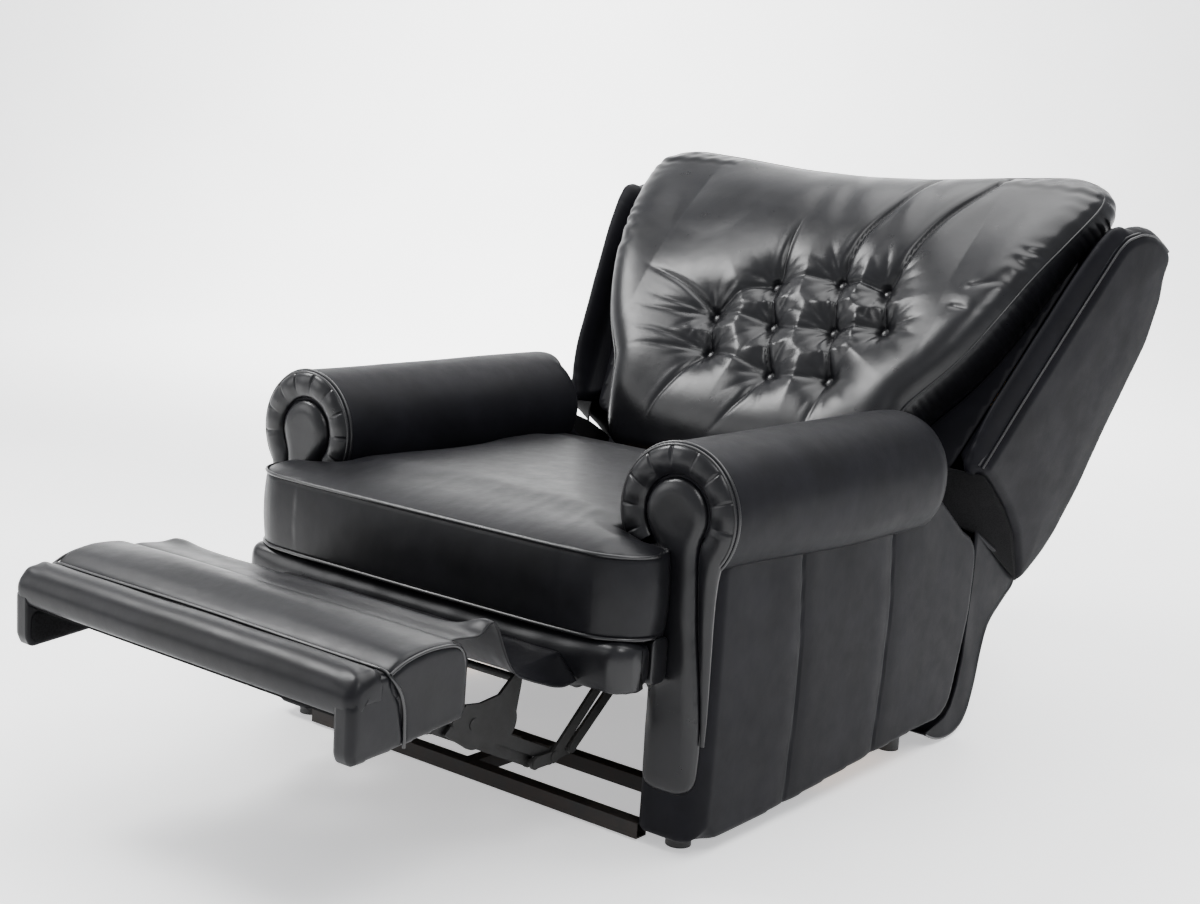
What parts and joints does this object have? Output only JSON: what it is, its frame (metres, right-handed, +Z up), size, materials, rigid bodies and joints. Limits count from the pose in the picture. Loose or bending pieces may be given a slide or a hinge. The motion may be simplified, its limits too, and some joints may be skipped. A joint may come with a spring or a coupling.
{
  "type": "reclining armchair",
  "caption": "Wing armchair in black leather with rolled arms, tufted back, fold-out footrest and a back that reclines, used as a reflexology and treatment chair.",
  "frame": {"origin": "on the floor, on the plane of symmetry, at the middle of the overall length with the footrest out and the back laid back", "axes": "+Z up, the sitter faces -Y, +X is the sitter's left"},
  "size_m": [1.2076, 1.8887, 1.0322],
  "materials": {
    "leather_arm": "glossy black antique leather",
    "leather_seat": "glossy black antique leather",
    "leather_footrest": "glossy black antique leather",
    "leather_back": "glossy black antique leather",
    "lining": "matt black lining cloth",
    "frame_steel": "black semi-gloss paint",
    "linkage_steel": "black semi-gloss paint",
    "spring_wire": "bare spring wire",
    "foot_plastic": "black moulded glide",
    "wood_frame": "bare hardwood and plywood"
  },
  "bodies": {
    "base": {"front_rail": "frame_steel", "mid_rail": "frame_steel", "rear_rail": "frame_steel", "centre_rail": "frame_steel", "feet": "foot_plastic", "arm_frame_left": "wood_frame", "arm_body_left": "leather_arm", "arm_roll_left": "leather_arm", "arm_facing_left": "leather_arm", "arm_frame_right": "wood_frame", "arm_body_right": "leather_arm", "arm_roll_right": "leather_arm", "arm_facing_right": "leather_arm", "seat_rail_front": "wood_frame", "seat_rail_rear": "wood_frame", "seat_rail_left": "wood_frame", "seat_rail_right": "wood_frame", "seat_springs": "spring_wire", "seat_cushion": "leather_seat", "apron": "leather_seat", "dust_cover": "lining", "side_plate_left": "linkage_steel", "side_plate_right": "linkage_steel"},
    "front_links": {"front_link_left": "linkage_steel", "front_link_right": "linkage_steel"},
    "rear_links": {"rear_link_left": "linkage_steel", "rear_link_right": "linkage_steel", "torque_tube": "linkage_steel"},
    "main_links": {"main_link_left": "linkage_steel", "main_link_right": "linkage_steel", "support_bar": "linkage_steel"},
    "short_links": {"short_link_left": "linkage_steel", "short_link_right": "linkage_steel"},
    "footrest": {"footrest_board": "wood_frame", "footrest_pad": "leather_footrest", "footrest_front_roll": "leather_footrest", "footrest_flap_left": "leather_footrest", "footrest_flap_right": "leather_footrest", "footrest_bracket_left": "linkage_steel", "footrest_bracket_right": "linkage_steel", "leg_connector": "leather_footrest"},
    "back": {"back_bracket_left": "linkage_steel", "back_bracket_right": "linkage_steel", "back_rib_left": "wood_frame", "back_rib_right": "wood_frame", "back_rail_top": "wood_frame", "back_rail_lower": "wood_frame", "back_cushion": "leather_back", "back_buttons": "leather_back", "wing_left": "leather_back", "wing_right": "leather_back", "outside_back": "leather_back", "rear_skirt": "leather_back"}
  },
  "joints": [
    {"name": "footrest_fold", "type": "hinge", "parent": "base", "child": "front_links", "pos_m": [0, -0.3004, 0.315], "axis": [1, 0, 0], "range_deg": [0, 87.3]},
    {"name": "rear_link_turn", "type": "hinge", "parent": "base", "child": "rear_links", "pos_m": [0, -0.2504, 0.313], "axis": [1, 0, 0], "range_deg": [0, 87.4]},
    {"name": "main_link_turn", "type": "hinge", "parent": "front_links", "child": "main_links", "pos_m": [0, -0.4804, 0.154], "axis": [1, 0, 0], "range_deg": [-110.1, 0]},
    {"name": "short_link_turn", "type": "hinge", "parent": "front_links", "child": "short_links", "pos_m": [0, -0.5214, 0.154], "axis": [1, 0, 0], "range_deg": [-110.5, 0]},
    {"name": "footrest_turn", "type": "hinge", "parent": "main_links", "child": "footrest", "pos_m": [0, -0.6904, 0.252], "axis": [1, 0, 0], "range_deg": [0, 112.8], "deforming": ["leg_connector"]},
    {"name": "back_recline", "type": "hinge", "parent": "base", "child": "back", "pos_m": [0, 0.4296, 0.33], "axis": [1, 0, 0], "range_deg": [0, 20]}
  ],
  "couplings": [
    {"joint": "rear_link_turn", "follows": "footrest_fold", "ratio": 1.0011},
    {"joint": "main_link_turn", "follows": "footrest_fold", "ratio": -1.2612},
    {"joint": "short_link_turn", "follows": "footrest_fold", "ratio": -1.2657},
    {"joint": "footrest_turn", "follows": "footrest_fold", "ratio": 1.2921}
  ]
}
